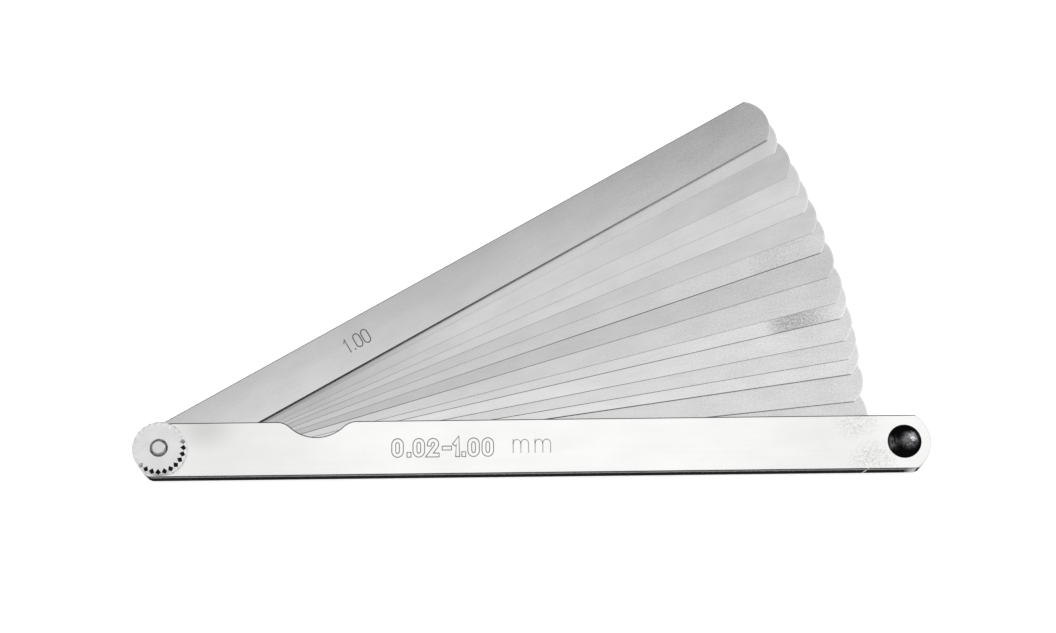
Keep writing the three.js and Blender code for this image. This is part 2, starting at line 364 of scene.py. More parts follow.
def leaf_steel(name, looks, seed, turn, mottle):
    """Satin spring steel with its rolling grain along the leaf, painted shadow along its edges, painted
    shade across it and a painted highlight round its tip.
    """
    (root, middle, tip), (root_line, tip_line, line_width, upper_line), stain = looks
    # Each leaf takes its noise from another place, so that no two are alike.
    offset = (seed * 1.7, seed * 0.9, 0)
    look = Look(name, turn=turn)
    grain = look.noise((55, 5200, 1), detail=3, offset=offset, roughness=0.6)
    clouds = look.noise((90, 190, 1), detail=4, offset=offset)
    specks = look.noise((1700, 1900, 1), detail=3, offset=offset, roughness=0.7)
    x = look.axis("X")
    y = look.axis("Y")

    along = look.total(look.remap(x, 45 * MM, 90 * MM, root, middle),
                       look.remap(x, 115 * MM, 180 * MM, 0.0, tip - middle))
    # Painted shade across the leaf, darker towards its upper edge, the front leaf more so.
    across = (1.11, 0.88) if upper_line else (1.03, 0.96)
    near_tip = look.remap(x, 110 * MM, 180 * MM, 0.35, 1.0, smooth=True)
    mottling = look.product(look.less(specks, 0.5), near_tip)
    # A painted highlight along the rim of the tip.
    painted_tip_highlight = look.product(
        look.fade(x, LEAF_TIP_X + 0.5 * MM, LEAF_TIP_X + 2 * MM),
        look.fade(look.radius_from(LEAF_TIP_X), LEAF_TIP_RADIUS - 0.5 * MM, LEAF_TIP_RADIUS - 0.3 * MM),
    )
    tone = look.product(
        along,
        look.remap(grain, 0.25, 0.75, 0.97, 1.03),
        look.vary(clouds, 0.96, 1.04),
        look.remap(mottling, -0.2, 0.2, 1.0 + mottle, 1.0 - mottle),
        look.remap(y, -LEAF_HALF_WIDTH, LEAF_HALF_WIDTH, *across),
        look.scale_by(painted_tip_highlight, 1.16),
    )

    # Painted shadow in a line along the lower edge, with its own darkness at the root and at the tip, and
    # along the front leaf's upper edge.
    lower_shade = look.remap(x, 70 * MM, 130 * MM, 1.0 - root_line, 1.0 - tip_line)
    lower_y = -LEAF_HALF_WIDTH + line_width
    tone = look.product(tone, look.remap(y, lower_y + 0.14 * MM, lower_y, 1.0, lower_shade))
    if upper_line:
        upper_y = LEAF_HALF_WIDTH - 0.12 * MM
        tone = look.product(tone, look.remap(y, upper_y - 0.16 * MM, upper_y, 1.0, 1.0 - upper_line))
    if stain:
        patch = look.product(
            look.fade(x, 168 * MM, 175 * MM, smooth=True),
            look.fade(x, 192 * MM, 178 * MM, smooth=True),
            look.remap(y, -1 * MM, 4 * MM, 1.0, 0.3, smooth=True),
            look.remap(specks, 0.38, 0.6, 0.3, 1.0),
        )
        polish = look.product(
            look.fade(x, 120 * MM, 150 * MM, smooth=True),
            look.fade(x, 173 * MM, 168 * MM, smooth=True),
        )
        tone = look.product(tone, look.scale_by(patch, 1.0 - stain),
                            look.scale_by(polish, 1.0 + 0.08 * stain))
    look.grey(tone, (1.0, 1.0, 0.998))
    look.roughen(look.total(look.remap(grain, 0.25, 0.75, 0.25, 0.34), look.vary(clouds, -0.03, 0.03)))
    look.bump(grain, 0.002 * MM, 0.7)
    return look.material


def sheared_edge(name):
    """The cut edge of a leaf: pale round the pivot, then in painted shade, near black past it and paler
    along the leaf, and pale and partly matt at the tip.
    """
    look = Look(name)
    steps = look.noise((900, 900, 16000), detail=3)
    reach = look.radius_from()
    tip = look.fade(reach, LEAF_REACH - 3.7 * MM, LEAF_REACH - 3.35 * MM)
    # Painted shade along the cut edge: near black past the pivot, lightening towards the tip.
    root_tone = look.remap(reach, 10 * MM, 20 * MM, 0.35, 0.0)
    side_tone = look.remap(reach, 80 * MM, 165 * MM, 0.02, 0.42)
    tone = look.total(root_tone, side_tone, look.product(tip, 0.38))
    look.grey(look.product(tone, look.vary(steps, 0.75, 1.25)))
    side_matt = look.remap(reach, 60 * MM, 140 * MM, 0.0, 0.5)
    look.make_matt(look.total(side_matt, look.product(tip, 0.3)))
    look.roughen(look.vary(steps, 0.35, 0.55))
    look.bump(steps, 0.01 * MM, 0.6)
    return look.material


def dull_edge(name):
    """Where the plating is thin and dull, along the case's long cut edges."""
    look = Look(name)
    steps = look.noise((500, 500, 3000), detail=3)
    look.grey(look.vary(steps, 0.1, 0.17))
    look.roughen(look.vary(steps, 0.3, 0.45))
    look.bump(steps, 0.01 * MM, 0.6)
    return look.material


def ground_end(name):
    """The case's ends, ground round: bare, pale and matt."""
    look = Look(name, metallic=0.2)
    steps = look.noise((900, 900, 4000), detail=3)
    look.grey(look.vary(steps, 0.68, 0.84))
    look.roughen(look.vary(steps, 0.42, 0.6))
    look.bump(steps, 0.01 * MM, 0.6)
    return look.material


def etched_mark(name):
    """Number etched dark into a leaf."""
    look = Look(name, metallic=0.3)
    grain = look.noise((2600, 2600, 1), detail=3)
    look.grey(look.vary(grain, 0.035, 0.1))
    look.roughen(look.vary(grain, 0.45, 0.7))
    return look.material


def stamped_groove_shade(name, tone):
    """A flat ribbon in painted shade on the case, where a stamped line's floor would lie in shade."""
    look = Look(name, metallic=0.8)
    grain = look.noise((1600, 1600, 1600), detail=3)
    look.grey(look.vary(grain, 0.6 * tone, 1.4 * tone))
    look.roughen(look.vary(grain, 0.35, 0.6))
    return look.material


def turned_steel(name, tone, x=0.0, metallic=1.0):
    """Steel faced in a lathe, with fine rings round the vertical line at (x, 0)."""
    rings_per_metre = 5200
    look = Look(name, metallic=metallic)
    place = look.product(look.radius_from(x), rings_per_metre)
    ring_vector = look.node("ShaderNodeCombineXYZ", X=place).outputs[0]
    rings = look.node("ShaderNodeTexNoise", Vector=ring_vector, Scale=1.0, Detail=2.0).outputs["Fac"]
    clouds = look.noise((260, 260, 260), detail=4)
    specks = look.noise((3200, 3200, 3200), detail=2, roughness=0.7)
    look.grey(look.product(
        look.vary(clouds, tone * 0.95, tone * 1.05),
        look.vary(rings, 0.975, 1.02),
        look.remap(specks, 0.64, 0.8, 1.0, 0.8),
    ))
    look.roughen(look.vary(clouds, 0.23, 0.34))
    look.bump(rings, 0.003 * MM, 0.7)
    return look.material


def dark_oil(name, low, high):
    """Steel under dark oil, between two greys."""
    look = Look(name)
    blotches = look.noise((1500, 1500, 1500), detail=3)
    look.grey(look.remap(blotches, 0.35, 0.65, low, high))
    look.roughen(look.remap(blotches, 0.35, 0.7, 0.4, 0.65))
    look.bump(blotches, 0.02 * MM, 0.6)
    return look.material


def notch_painted_shade(name):
    """Painted shade, matt black, in the notches on the side of the nut towards +X and -Y, and painted
    light, pale, on the other side.
    """
    look = Look(name, metallic=0.0, specular=0.05)
    blotches = look.noise((1500, 1500, 1500), detail=3)
    shaded_x, shaded_y = 0.53, -0.85
    shaded_side = look.total(look.product(look.axis("X"), shaded_x / NUT_RADIUS),
                           look.product(look.axis("Y"), shaded_y / NUT_RADIUS))
    # Painted light: the notches grow pale away from the shaded side.
    bare = look.product(look.remap(shaded_side, 0.0, 0.4, 0.8, 0.0), look.remap(blotches, 0.35, 0.65, 0.85, 1.0))
    look.grey(look.total(look.remap(blotches, 0.35, 0.65, 0.003, 0.015), bare))
    look.roughen(look.remap(blotches, 0.35, 0.7, 0.5, 0.75))
    look.bump(blotches, 0.02 * MM, 0.6)
    return look.material


def black_oxide(name):
    """Glossy black finish over a lightly dimpled, peened dome, with a painted highlight right of its
    centre, brightest towards +X and +Y, and a faint painted reflection on its -X side.
    """
    look = Look(name)
    dimples = look.noise((620, 620, 620), detail=3)
    fine = look.noise((2600, 2600, 2600), detail=3)
    streaks = look.noise((2400, 500, 500), detail=3)
    black = look.remap(fine, 0.35, 0.7, 0.002, 0.005)
    # A painted highlight right of the centre, growing brighter towards +X and +Y.
    diagonal = look.total(look.axis("X"), look.axis("Y"))
    painted_highlight_patch = look.product(
        look.spot(RIVET_X + 1.2 * MM, 0.1 * MM, 1.2 * MM, 3.0 * MM),
        look.remap(dimples, 0.42, 0.58, 0.25, 1.0),
        look.remap(fine, 0.35, 0.65, 0.3, 1.0),
        look.remap(diagonal, RIVET_X - 1.5 * MM, RIVET_X + 4.0 * MM, 0.16, 0.34),
    )
    # A faint painted reflection on the -X side.
    painted_faint_reflection = look.product(
        look.spot(RIVET_X - 3.3 * MM, -0.6 * MM, 0.2 * MM, 2.6 * MM),
        look.remap(dimples, 0.4, 0.6, 0.03, 0.14),
        look.remap(streaks, 0.38, 0.62, 0.2, 1.2),
    )
    look.grey(look.total(black, painted_highlight_patch, painted_faint_reflection), (1.0, 1.0, 1.04))
    look.roughen(look.remap(fine, 0.35, 0.7, 0.12, 0.28))
    look.bump(look.total(dimples, look.product(fine, 0.15)), 0.14 * MM, 0.6)
    return look.material


# ----------------------------------------------------------------------------- case

# The sheet's cut edge in four levels, from its outer face in: (inset, depth), with broken corners.
CASE_EDGE = 0.3 * MM
CASE_INNER_EDGE = 0.05 * MM
CASE_LEVELS = (
    (CASE_EDGE, 0.0),
    (0.0, CASE_EDGE),
    (0.0, SHEET - CASE_INNER_EDGE),
    (CASE_INNER_EDGE, SHEET),
)
PLATE_FOOT_Y = -HALF_WIDTH + 1.3 * MM
BEND_STEPS = 12
END_STEPS = 36
FILLET_STEPS = 10
THUMB_NOTCH_STEPS = 28
BORE_SIDES = 48


def plate_chain(inset):
    """The plate's open outline from its bend, round the pivot end and notch, to the bend."""
    end_radius = END_RADIUS - inset
    low_angle = math.asin(PLATE_FOOT_Y / end_radius)
    high_angle = math.asin((HALF_WIDTH - inset) / end_radius)
    notch_y = NOTCH_FLOOR + NOTCH_RADIUS
    fillet_y = HALF_WIDTH - NOTCH_FILLET
    reach = math.sqrt((NOTCH_RADIUS + NOTCH_FILLET) ** 2 - (notch_y - fillet_y) ** 2)
    meet = math.atan2(notch_y - fillet_y, reach)
    fillet = NOTCH_FILLET - inset
    notch = arc(NOTCH_X, notch_y, NOTCH_RADIUS + inset, HALF_TURN + meet, TAU - meet, THUMB_NOTCH_STEPS)
    return (
        arc(PIVOT_END_X, 0, end_radius, HALF_TURN - low_angle, HALF_TURN - high_angle, END_STEPS)
        + arc(NOTCH_X - reach, fillet_y, fillet, QUARTER_TURN, meet, FILLET_STEPS)
        + notch[1:-1]
        + arc(NOTCH_X + reach, fillet_y, fillet, HALF_TURN - meet, QUARTER_TURN, FILLET_STEPS)
        + arc(FREE_END_X, 0, end_radius, high_angle, low_angle, END_STEPS)
    )


def bend_rows(inset, depth):
    """The fold from the front plate to the rear one: (start x, end x, y, z) of each row."""
    inward = depth / SHEET
    radius = BEND_OUTSIDE + (BEND_INSIDE - BEND_OUTSIDE) * inward
    middle_y = -HALF_WIDTH + depth + radius
    front_bend = arc(middle_y, FRONT_Z - depth - radius, radius, QUARTER_TURN, HALF_TURN, BEND_STEPS)
    rear_bend = arc(middle_y, REAR_Z + depth + radius, radius, HALF_TURN, 3 * QUARTER_TURN, BEND_STEPS)
    rows = []
    for y, z in front_bend + rear_bend:
        between_plates = FLOOR_Z < z < ROOF_Z
        round_reach = math.sqrt((END_RADIUS - inset) ** 2 - y ** 2)
        reach = CORNER_REACH - inset if between_plates else round_reach
        rows.append((PIVOT_END_X - reach, FREE_END_X + reach, y, z))
    return rows


def square(side, z):
    half = side / 2
    return [(half, half, z), (-half, half, z), (-half, -half, z), (half, -half, z)]


def make_case(materials):
    """A folded channel: two notched plates and the spine, all one sheet thick.

    The materials are those of the faces, the long cut edges and the ends.
    """
    edge_index, end_index = 1, 2
    bm = bmesh.new()
    loops = []
    surfaces = []
    holes = {"screw": [], "neck": [], "front_rivet": [], "rear_rivet": []}
    for inset, depth in CASE_LEVELS:
        front_z = FRONT_Z - depth
        rear_z = REAR_Z + depth
        front = add_ring(bm, [(x, y, front_z) for x, y in plate_chain(inset)])
        rear = add_ring(bm, [(x, y, rear_z) for x, y in plate_chain(inset)])
        rows = bend_rows(inset, depth)
        starts = add_ring(bm, [(start, y, z) for start, _, y, z in rows])
        ends = add_ring(bm, [(end, y, z) for _, end, y, z in rows])
        loops.append(front + ends + rear[::-1] + starts[::-1])
        surfaces.append((front, rear, starts, ends))
        rivet = RIVET_RADIUS + HOLE_CLEARANCE + inset / 2
        screw = SCREW_RADIUS + HOLE_CLEARANCE + inset / 2
        neck = NECK_SIDE + 2 * HOLE_CLEARANCE + inset
        holes["screw"].append(add_ring(bm, circle(screw, front_z, BORE_SIDES)))
        holes["front_rivet"].append(add_ring(bm, circle(rivet, front_z, BORE_SIDES, RIVET_X)))
        holes["neck"].append(add_ring(bm, square(neck, rear_z)))
        holes["rear_rivet"].append(add_ring(bm, circle(rivet, rear_z, BORE_SIDES, RIVET_X)))
    for first, second in zip(loops, loops[1:]):
        for face in bridge(bm, first, second):
            middle = face.calc_center_median()
            long_edge = PIVOT_END_X - CORNER_REACH < middle.x < FREE_END_X + CORNER_REACH
            if not long_edge:
                face.material_index = end_index
            elif middle.y > NOTCH_FLOOR - CASE_EDGE:
                face.material_index = edge_index
    for rings in holes.values():
        for first, second in zip(rings, rings[1:]):
            bridge(bm, first, second)
    for level in (0, -1):
        front, rear, starts, ends = surfaces[level]
        left = [front[0]] + starts + [rear[0]]
        right = [front[-1]] + ends + [rear[-1]]
        bridge(bm, left, right, closed=False)
        fill(bm, front, holes["screw"][level], holes["front_rivet"][level])
        fill(bm, rear, holes["neck"][level], holes["rear_rivet"][level])
    finish_piece("case_shell", bm, "case", materials, ["case"])


# ---------------------------------------------------------------------------- leaves

# How each leaf looks, by its label. Its grey at the root, the middle and the tip; how dark the painted
# shadow along its lower edge is at the root and at the tip, how wide that line is, and how dark the
# painted shadow along its upper edge is; and how deep its stain near the tip is.
LEAF_LOOKS = {
    "1_00": ((0.60, 0.52, 0.42), (0.95, 0.30, 0.04 * MM, 0.8), 0.0),
    "0_02": ((0.40, 0.58, 0.58), (0.10, 0.10, 0.05 * MM, 0.0), 0.0),
    "0_03": ((0.46, 0.62, 0.51), (0.15, 0.15, 0.05 * MM, 0.0), 0.0),
    "0_04": ((0.50, 0.61, 0.62), (0.20, 0.20, 0.05 * MM, 0.0), 0.0),
    "0_05": ((0.53, 0.62, 0.63), (0.25, 0.25, 0.05 * MM, 0.0), 0.0),
    "0_06": ((0.50, 0.56, 0.58), (0.15, 0.15, 0.05 * MM, 0.0), 0.0),
    "0_07": ((0.56, 0.58, 0.61), (0.10, 0.90, 0.12 * MM, 0.0), 0.12),
    "0_08": ((0.50, 0.53, 0.55), (0.70, 0.50, 0.06 * MM, 0.0), 0.0),
    "0_09": ((0.65, 0.61, 0.61), (0.25, 0.20, 0.05 * MM, 0.0), 0.0),
    "0_10": ((0.69, 0.64, 0.67), (0.40, 0.80, 0.08 * MM, 0.0), 0.48),
    "0_15": ((0.76, 0.70, 0.66), (0.40, 0.40, 0.05 * MM, 0.0), 0.0),
    "0_20": ((0.73, 0.66, 0.64), (0.20, 0.20, 0.05 * MM, 0.0), 0.0),
    "0_25": ((0.73, 0.72, 0.68), (0.90, 0.90, 0.10 * MM, 0.0), 0.0),
    "0_30": ((0.70, 0.66, 0.65), (0.60, 0.60, 0.06 * MM, 0.0), 0.0),
    "0_40": ((0.70, 0.66, 0.65), (0.50, 0.50, 0.06 * MM, 0.0), 0.0),
    "0_50": ((0.68, 0.66, 0.65), (0.50, 0.50, 0.06 * MM, 0.0), 0.0),
    "0_75": ((0.68, 0.66, 0.65), (0.50, 0.50, 0.06 * MM, 0.0), 0.0),
}


def leaf_outline(inset):
    """A leaf's outline, drawn in by inset: round root, straight sides, shallow curved tip."""
    half = LEAF_HALF_WIDTH
    corner = LEAF_CORNER
    corner_y = half - corner
    corner_x = LEAF_TIP_X + math.sqrt((LEAF_TIP_RADIUS - corner) ** 2 - corner_y ** 2)
    meet = math.atan2(corner_y, corner_x - LEAF_TIP_X)
    root_steps, corner_steps, tip_steps = 40, 5, 30
    points = arc(0, 0, half - inset, QUARTER_TURN, 3 * QUARTER_TURN, root_steps)
    points += arc(corner_x, -corner_y, corner - inset, -QUARTER_TURN, -meet, corner_steps)
    points += arc(LEAF_TIP_X, 0, LEAF_TIP_RADIUS - inset, -meet, meet, tip_steps)[1:-1]
    points += arc(corner_x, corner_y, corner - inset, meet, QUARTER_TURN, corner_steps)
    return points


def leaf_place(low, turn):
    """Raises a flat shape to its height in the stack, and swings it round the pivot."""
    return Matrix.Translation((0, 0, low)) @ Matrix.Rotation(turn, 4, "Z")


def make_leaf(label, body, node, low, high, turn, materials):
    """A leaf with broken edges, drawn along its own x axis and then put in its place.

    The materials are those of its faces and of its cut edges.
    """
    edge_index = 1
    thickness = high - low
    edge = min(0.09 * MM, 0.3 * thickness)
    levels = ((edge, 0.0), (0.0, edge), (0.0, thickness - edge), (edge, thickness))
    bm = bmesh.new()
    outlines = []
    holes = []
    for inset, z in levels:
        outlines.append(add_ring(bm, [(x, y, z) for x, y in leaf_outline(inset)]))
        holes.append(add_ring(bm, circle(BORE_RADIUS + inset, z, BORE_SIDES)))
    walls = []
    for rings in (outlines, holes):
        for first, second in zip(rings, rings[1:]):
            walls += bridge(bm, first, second)
    fill(bm, outlines[0], holes[0])
    fill(bm, outlines[-1], holes[-1])
    for face in walls:
        face.material_index = edge_index
    bm.transform(leaf_place(low, turn))
    finish_piece("leaf_" + label, bm, body, materials, [node])


# -------------------------------------------------------------------------- numbers

def bow(x, y, wide, tall, start, end, steps=10):
    """Part of an oval, with angles in eighths of a turn."""
    eighth = TAU / 8
    points = []
    for i in range(steps + 1):
        angle = (start + (end - start) * i / steps) * eighth
        points.append((x + wide * math.cos(angle), y + tall * math.sin(angle)))
    return points


# Each sign is a list of strokes in a cell 0.5 wide and 1 high.
GLYPHS = {
    "0": [bow(0.25, 0.72, 0.23, 0.28, 0, 4) + bow(0.25, 0.28, 0.23, 0.28, 4, 8) + [(0.48, 0.72)]],
    "1": [[(0.12, 0.76), (0.27, 1.0), (0.27, 0.0)]],
    "2": [bow(0.25, 0.74, 0.22, 0.26, 4, -1) + [(0.03, 0.0), (0.49, 0.0)]],
    "3": [bow(0.23, 0.76, 0.21, 0.24, 3.6, -2) + bow(0.23, 0.27, 0.25, 0.27, 2, -3.6)],
    "4": [[(0.36, 0.0), (0.36, 1.0), (0.01, 0.28), (0.5, 0.28)]],
    "5": [[(0.45, 1.0), (0.08, 1.0), (0.05, 0.56)] + bow(0.23, 0.32, 0.25, 0.32, 2.8, -3.4)],
    "6": [bow(0.25, 0.74, 0.22, 0.26, 0.6, 4) + bow(0.25, 0.29, 0.23, 0.29, 4, 12, 20)],
    "7": [[(0.02, 1.0), (0.48, 1.0), (0.17, 0.0)]],
    "8": [bow(0.25, 0.76, 0.19, 0.24, -2, 6, 20), bow(0.25, 0.27, 0.23, 0.27, 2, 10, 20)],
    "9": [bow(0.25, 0.26, 0.22, 0.26, 4.6, 8) + bow(0.25, 0.71, 0.23, 0.29, 0, 8, 20)],
    ".": [[(0.08, 0.0), (0.08, 0.06)]],
    "-": [[(0.06, 0.46), (0.38, 0.46)]],
    "m": [[(0.05, 0.0), (0.05, 0.68)], bow(0.2, 0.45, 0.15, 0.22, 4, 0) + [(0.35, 0.0)],
          bow(0.5, 0.45, 0.15, 0.22, 4, 0) + [(0.65, 0.0)]],
}


def strokes_of(text, height, stretch=1.0, pitch=0.61, dot=0.26):
    """Strokes of a line of signs that starts at x = 0; pitch and dot are a digit's and a dot's room."""
    room = {".": dot, "-": 0.6, "m": 0.85, "1": 0.56}
    x = 0.0
    strokes = []
    for sign in text:
        for stroke in GLYPHS[sign]:
            strokes.append([((x + px * stretch) * height, py * height) for px, py in stroke])
        x += room.get(sign, pitch) * stretch
    return strokes


def heading(start, end):
    """The direction from one point to another, or None where they are the same."""
    step = end - start
    return step.normalized() if step.length > 1e-6 * MM else None


def ribbon(bm, stroke, width, z, rise=0.0, shoulder=0.0):
    """A stroke as a flat ribbon at z, or as a ridge of height rise with sloping shoulders."""
    same_place = 0.001 * MM
    sharpest_mitre = 0.45
    closed = len(stroke) > 3 and math.dist(stroke[0], stroke[-1]) < same_place
    points = [Vector(point) for point in (stroke[:-1] if closed else stroke)]
    count = len(points)
    rows = []
    for i, point in enumerate(points):
        before = points[i - 1] if i or closed else point
        after = points[(i + 1) % count] if i + 1 < count or closed else point
        into = heading(before, point) or heading(point, after)
        out = heading(point, after) or into
        along = (into + out).normalized()
        side = Vector((-along.y, along.x))
        mitre = 1 / max(sharpest_mitre, side.dot(Vector((-out.y, out.x))))
        centre = point.copy()
        if not closed and i == 0:
            centre -= along * width / 2
        if not closed and i == count - 1:
            centre += along * width / 2
        row = []
        for share, lift in ((-1, 0), (-1 + shoulder, rise), (1 - shoulder, rise), (1, 0)):
            place = centre + side * (width / 2 * mitre * share)
            row.append(bm.verts.new((place.x, place.y, z + lift)))
        rows.append(row)
    pairs = list(zip(rows, rows[1:]))
    if closed:
        pairs.append((rows[-1], rows[0]))
    for first, second in pairs:
        if shoulder:
            for k in range(3):
                bm.faces.new((first[k], second[k], second[k + 1], first[k + 1]))
        else:
            bm.faces.new((first[0], second[0], second[3], first[3]))
    if shoulder and not closed:
        bm.faces.new(rows[0])
        bm.faces.new(rows[-1])
    loose = [vert for vert in bm.verts if not vert.link_faces]
    bmesh.ops.delete(bm, geom=loose, context="VERTS")


MARK_START = 57.3 * MM
MARK_BASE = -1.8 * MM
MARK_HEIGHT = 4.0 * MM
MARK_STROKE = 0.3 * MM

# How far the flat ribbons lie above their surface.
RIBBON_LIFT = 0.004 * MM


def make_leaf_mark(label, body, high, turn, material):
    """The leaf's thickness, etched near its root."""
    bm = bmesh.new()
    for stroke in strokes_of(label.replace("_", "."), MARK_HEIGHT):
        ribbon(bm, stroke, MARK_STROKE, 0.0)
    bm.transform(leaf_place(high + RIBBON_LIFT, turn) @ Matrix.Translation((MARK_START, MARK_BASE, 0)))
    finish_piece("mark_" + label, bm, body, [material])


RANGE_START = 63.4 * MM
RANGE_BASE = -2.3 * MM
RANGE_HEIGHT = 4.1 * MM
RANGE_STROKE = 0.84 * MM
RANGE_OUTLINE = 0.25 * MM
CREST_LIFT = 0.006 * MM
CREST_RISE = 0.05 * MM
UNIT_START = 95.6 * MM
UNIT_BASE = -1.85 * MM
UNIT_HEIGHT = 5.4 * MM
UNIT_STROKE = 0.26 * MM


def make_range_stamp(nickel_material, line_material, fine_line_material):
    """The set's range stamped in the front plate: broad digits outlined in painted shade, and a thin unit
    drawn in painted shade.
    """
    strokes = strokes_of("0.02-1.00", RANGE_HEIGHT, stretch=1.1, pitch=0.86, dot=0.42)
    place = Matrix.Translation((RANGE_START, RANGE_BASE, FRONT_Z))
    outline = bmesh.new()
    crest = bmesh.new()
    for stroke in strokes:
        ribbon(outline, stroke, RANGE_STROKE + 2 * RANGE_OUTLINE, RIBBON_LIFT)
        ribbon(crest, stroke, RANGE_STROKE, CREST_LIFT, rise=CREST_RISE, shoulder=0.2)
    outline.transform(place)
    crest.transform(place)
    finish_piece("range_outline", outline, "case", [line_material])
    finish_piece("range_digits", crest, "case", [nickel_material])

    unit = bmesh.new()
    for stroke in strokes_of("mm", UNIT_HEIGHT, stretch=1.3):
        ribbon(unit, stroke, UNIT_STROKE, RIBBON_LIFT)
    unit.transform(Matrix.Translation((UNIT_START, UNIT_BASE, FRONT_Z)))
    finish_piece("range_unit", unit, "case", [fine_line_material])


# ------------------------------------------------------------- screw, nut, rivet, sleeve

HEAD_EDGE = 0.06 * MM


def head_profile(radius, flat, top):
    """A low round head from the axis out: flat face, curved shoulder, straight rim."""
    rim = 0.35 * MM
    steps = 10
    profile = [(0, 0), (flat / 2, 0)]
    for i in range(steps + 1):
        angle = QUARTER_TURN * i / steps
        reach = flat + (radius - flat) * math.sin(angle)
        profile.append((reach, (top - rim) * (1 - math.cos(angle))))
    profile += [(radius, top - HEAD_EDGE), (radius - HEAD_EDGE, top)]
    return profile


def make_screw(materials):
    """A low head, a square neck, a plain shank and a thread.

    The materials are those of the screw and of its thread.
    """
    thread_index = 1
    bm = bmesh.new()
    thread_foot = nut_low.z
    head_flat = 3.4 * MM
    lathe(bm, head_profile(SCREW_HEAD_RADIUS, head_flat, REAR_Z) + [
        (SCREW_RADIUS, REAR_Z),
        (SCREW_RADIUS, thread_foot),
    ])
    neck = bmesh.ops.create_cube(bm, size=1.0)["verts"]
    neck_height = FLOOR_Z - REAR_Z
    bmesh.ops.scale(bm, vec=(NECK_SIDE, NECK_SIDE, neck_height), verts=neck)
    bmesh.ops.translate(bm, vec=(0, 0, REAR_Z + neck_height / 2), verts=neck)

    # The thread: a helical ridge that runs out in the end's chamfer, and a slightly domed end.
    pitch = 0.7 * MM
    depth = 0.38 * MM
    groove_share = 0.84
    chamfer = 0.4 * MM
    sides = 72
    steps = 60
    end_z = screw_high.z
    rim_z = end_z - 0.05 * MM
    rings = []
    for step in range(steps + 1):
        z = thread_foot + (rim_z - thread_foot) * step / steps
        ring = []
        for side in range(sides):
            phase = (z / pitch - side / sides) % 1.0
            groove = depth * max(0.0, 1 - abs(phase - 0.5) / (groove_share / 2))
            radius = min(SCREW_RADIUS - groove, SCREW_RADIUS - chamfer + (end_z - z))
            angle = TAU * side / sides
            ring.append(bm.verts.new((radius * math.cos(angle), radius * math.sin(angle), z)))
        rings.append(ring)
    for first, second in zip(rings, rings[1:]):
        for face in bridge(bm, first, second):
            face.material_index = thread_index
    dome = [rings[-1]]
    for share, drop in ((0.8866, 0.02 * MM), (0.6186, 0.008 * MM), (0.3093, 0.002 * MM)):
        points = [(vert.co.x * share, vert.co.y * share, end_z - drop) for vert in rings[-1]]
        dome.append(add_ring(bm, points))
    for first, second in zip(dome, dome[1:]):
        bridge(bm, first, second)
    add_cone(bm, bm.verts.new((0, 0, end_z)), dome[-1])
    finish_piece("screw", bm, "case", materials, ["pivot_screw"], smooth=40)


def make_nut(materials):
    """A ring of columns round the axis: bore, rim, broad chamfer, V notches, top face and mouth.

    A notch starts on the top face, runs outwards and down, and ends at the chamfer's foot. The
    materials are those of the face, the notches, the mouth and the rim.
    """
    notches = 24
    notch_reach = 1.56 * MM
    notch_width = 1.65 * MM
    cone_width = 0.52 * MM
    cone_height = 0.75 * MM
    foot_chamfer = 0.3 * MM
    mouth = 2.45 * MM
    mouth_edge = 0.06 * MM
    mouth_top = nut_high.z - 0.05 * MM
    low, high = nut_low.z, nut_high.z
    points_per_notch = 24
    steps = 24
    notch_index, mouth_index, rim_index = 1, 2, 3
    corner_radius = NUT_RADIUS - cone_width
    inner_radius = NUT_RADIUS - notch_reach
    keel_slope = cone_height / notch_reach
    side_slope = 2 * (corner_radius - inner_radius) * keel_slope / notch_width

    def notch_floor(radius, angle):
        """How high the nearest notch's sides stand at a place; above the metal outside it."""
        turn = (angle * notches / TAU + 0.5) % 1.0 - 0.5
        swing = turn * TAU / notches
        along = radius * math.cos(swing) - inner_radius
        return high - along * keel_slope + abs(radius * math.sin(swing)) * side_slope

    def surface(radius):
        """The height of the top face and the broad chamfer round it."""
        return high - max(0.0, radius - corner_radius) * cone_height / cone_width

    def row(radius, z):
        count = notches * points_per_notch
        points = []
        for i in range(count):
            angle = TAU * i / count
            points.append((radius * math.cos(angle), radius * math.sin(angle),
                           min(z, notch_floor(radius, angle))))
        return points

    rows = [
        row(BORE_RADIUS, low),
        row(NUT_RADIUS - foot_chamfer, low),
        row(NUT_RADIUS, low + foot_chamfer),
    ]
    rows_reach = notch_reach + 0.05 * MM
    for i in range(steps + 1):
        radius = NUT_RADIUS - rows_reach * i / steps
        rows.append(row(radius, surface(radius)))
    rows += [
        row(mouth + mouth_edge, high),
        row(mouth, mouth_top),
        row(BORE_RADIUS, mouth_top - (mouth - BORE_RADIUS)),
    ]
    bm = bmesh.new()
    rings = [add_ring(bm, points) for points in rows]
    for first, second in zip(rings, rings[1:] + rings[:1]):
        bridge(bm, first, second)
    for face in bm.faces:
        middle = face.calc_center_median()
        radius = math.hypot(middle.x, middle.y)
        if radius < mouth + mouth_edge:
            face.material_index = mouth_index
        elif notch_floor(radius, math.atan2(middle.y, middle.x)) < surface(radius):
            face.material_index = notch_index
        elif radius > corner_radius:
            face.material_index = rim_index
    finish_piece("nut", bm, "thumb_nut", materials, ["thumb_nut"], smooth=25)


